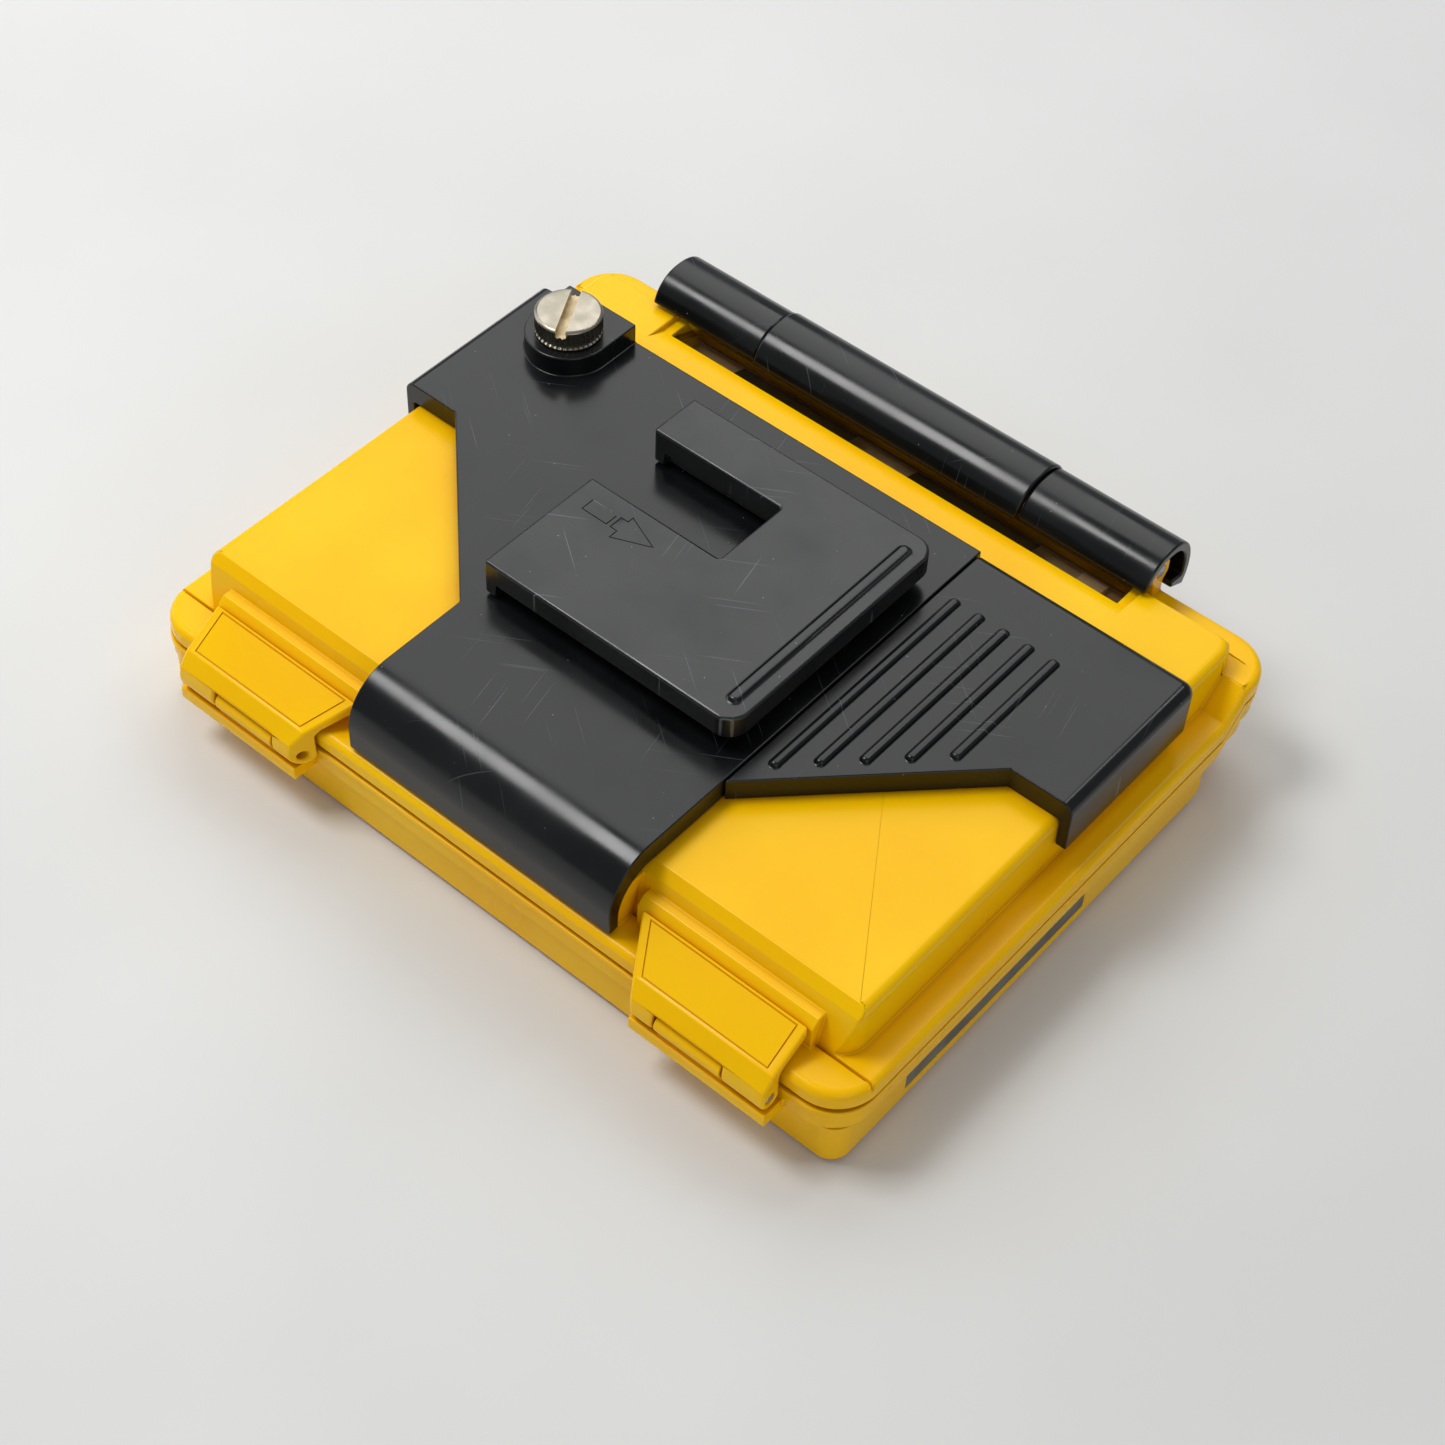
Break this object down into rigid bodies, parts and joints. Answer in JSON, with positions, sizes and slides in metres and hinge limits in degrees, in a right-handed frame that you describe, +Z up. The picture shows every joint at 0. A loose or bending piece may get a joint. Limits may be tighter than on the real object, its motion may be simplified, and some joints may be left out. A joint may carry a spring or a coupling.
{
  "type": "pocket radio cassette player",
  "caption": "Water-resistant pocket radio-cassette player lying on its lid, with clamping latches, a black battery cover, a sliding belt clip, a coin screw and a dial strip beside the hinge.",
  "frame": {"origin": "centre of the footprint, on the plane that the lid's front face rests on", "axes": "+X along the hinge, towards the fixed side cover; +Y from the latches to the hinge; +Z up, from the lid to the battery cover"},
  "size_m": [0.1214, 0.1014, 0.0336],
  "materials": {
    "yellow_shell": "satin",
    "black_cover": "satin",
    "smoked_pane": "gloss",
    "clear_pane": "gloss",
    "black_rubber": "matte",
    "bright_steel": "satin",
    "zinc_deck": "satin",
    "nickel_screw": "gloss",
    "turned_brass": "satin",
    "cell_wrap": "gloss",
    "board_laminate": "satin",
    "white_acetal": "satin",
    "black_works": "matte",
    "grey_wheel": "satin",
    "tan_pointer": "matte",
    "label_film": "satin",
    "dial_card": "matte"
  },
  "bodies": {
    "case": {"rear_case": "yellow_shell", "side_cover": "black_cover", "hinge_cover_left": "black_cover", "hinge_cover_centre": "black_cover", "hinge_cover_right": "black_cover", "hinge_pin": "bright_steel", "case_gasket": "black_rubber", "cover_seal": "black_rubber", "screw_insert": "turned_brass", "dial_window": "smoked_pane", "dial_plate": "dial_card", "deck_plate": "zinc_deck", "case_screws": "bright_steel", "battery_front": "cell_wrap", "battery_rear": "cell_wrap", "battery_contacts": "bright_steel", "circuit_board": "board_laminate", "tuning_capacitor": "white_acetal", "volume_control": "black_works", "button_switches": "black_works", "headphone_jack": "black_works", "motor": "bright_steel", "drive_belt": "black_rubber", "head_bracket": "zinc_deck", "tape_head": "bright_steel"},
    "lid": {"front_lid": "yellow_shell", "lid_window": "clear_pane", "label_plate": "label_film", "cassette_springs": "bright_steel", "latch_pins": "bright_steel"},
    "latch_left": {"latch_left": "yellow_shell"},
    "latch_right": {"latch_right": "yellow_shell"},
    "battery_cover": {"battery_cover": "black_cover"},
    "coin_screw": {"coin_screw": "nickel_screw", "retaining_ring": "bright_steel"},
    "belt_clip": {"belt_clip": "black_cover"},
    "dial_pointer": {"dial_pointer": "tan_pointer"},
    "tuning_knob": {"tuning_knob": "grey_wheel"},
    "volume_knob": {"volume_knob": "grey_wheel"},
    "button_play": {"button_play": "grey_wheel"},
    "button_stop": {"button_stop": "grey_wheel"},
    "button_forward": {"button_forward": "grey_wheel"},
    "button_rewind": {"button_rewind": "grey_wheel"},
    "motor_pulley": {"motor_pulley": "turned_brass"},
    "flywheel": {"flywheel": "turned_brass"},
    "supply_reel": {"supply_reel": "white_acetal"},
    "takeup_reel": {"takeup_reel": "white_acetal"},
    "pinch_arm": {"pinch_arm": "white_acetal"},
    "pinch_roller": {"pinch_roller": "black_rubber"}
  },
  "joints": [
    {"name": "lid_hinge", "type": "hinge", "parent": "case", "child": "lid", "pos_m": [0, 0.0454, 0.0226], "axis": [1, 0, 0], "range_deg": [0, 80]},
    {"name": "latch_left_hinge", "type": "hinge", "parent": "lid", "child": "latch_left", "pos_m": [-0.038, -0.049, 0.0113], "axis": [1, 0, 0], "range_deg": [0, 100]},
    {"name": "latch_right_hinge", "type": "hinge", "parent": "lid", "child": "latch_right", "pos_m": [0.038, -0.049, 0.0113], "axis": [1, 0, 0], "range_deg": [0, 100]},
    {"name": "cover_lift", "type": "slide", "parent": "case", "child": "battery_cover", "axis": [0, 0, 1], "range_m": [0, 0.03]},
    {"name": "coin_screw_turn", "type": "hinge", "parent": "battery_cover", "child": "coin_screw", "pos_m": [-0.0458, 0.0212, 0.03], "axis": [0, 0, 1], "continuous": true},
    {"name": "clip_slide", "type": "slide", "parent": "battery_cover", "child": "belt_clip", "axis": [1, 0, 0], "range_m": [0, 0.03]},
    {"name": "tuning_turn", "type": "hinge", "parent": "case", "child": "tuning_knob", "pos_m": [-0.052, -0.032, 0.0184], "axis": [0, 0, 1], "range_deg": [0, 303]},
    {"name": "dial_travel", "type": "slide", "parent": "case", "child": "dial_pointer", "axis": [1, 0, 0], "range_m": [-0.067, 0]},
    {"name": "volume_turn", "type": "hinge", "parent": "case", "child": "volume_knob", "pos_m": [-0.052, -0.021, 0.0184], "axis": [0, 0, 1], "range_deg": [0, 300]},
    {"name": "play_press", "type": "slide", "parent": "case", "child": "button_play", "axis": [1, 0, 0], "range_m": [0, 0.0015], "stiffness_N_per_m": 250},
    {"name": "stop_press", "type": "slide", "parent": "case", "child": "button_stop", "axis": [1, 0, 0], "range_m": [0, 0.0015], "stiffness_N_per_m": 250},
    {"name": "forward_press", "type": "slide", "parent": "case", "child": "button_forward", "axis": [1, 0, 0], "range_m": [0, 0.0015], "stiffness_N_per_m": 250},
    {"name": "rewind_press", "type": "slide", "parent": "case", "child": "button_rewind", "axis": [1, 0, 0], "range_m": [0, 0.0015], "stiffness_N_per_m": 250},
    {"name": "flywheel_spin", "type": "hinge", "parent": "case", "child": "flywheel", "pos_m": [0.0305, -0.0296, 0.0163], "axis": [0, 0, 1], "continuous": true},
    {"name": "pulley_spin", "type": "hinge", "parent": "case", "child": "motor_pulley", "pos_m": [0.008, -0.0274, 0.0195], "axis": [0, 0, 1], "continuous": true},
    {"name": "supply_spin", "type": "hinge", "parent": "case", "child": "supply_reel", "pos_m": [-0.02125, -0.0063, 0.0155], "axis": [0, 0, 1], "continuous": true},
    {"name": "takeup_spin", "type": "hinge", "parent": "case", "child": "takeup_reel", "pos_m": [0.02125, -0.0063, 0.0155], "axis": [0, 0, 1], "continuous": true},
    {"name": "pinch_swing", "type": "hinge", "parent": "case", "child": "pinch_arm", "pos_m": [0.043, -0.04, 0.0106], "axis": [0, 0, -1], "range_deg": [0, 28]},
    {"name": "pinch_spin", "type": "hinge", "parent": "pinch_arm", "child": "pinch_roller", "pos_m": [0.031, -0.04, 0.007], "axis": [0, 0, 1], "continuous": true}
  ],
  "couplings": [
    {"joint": "tuning_turn", "follows": "dial_travel", "rad_per_m": -78.74},
    {"joint": "pulley_spin", "follows": "flywheel_spin", "ratio": 2.1333}
  ]
}
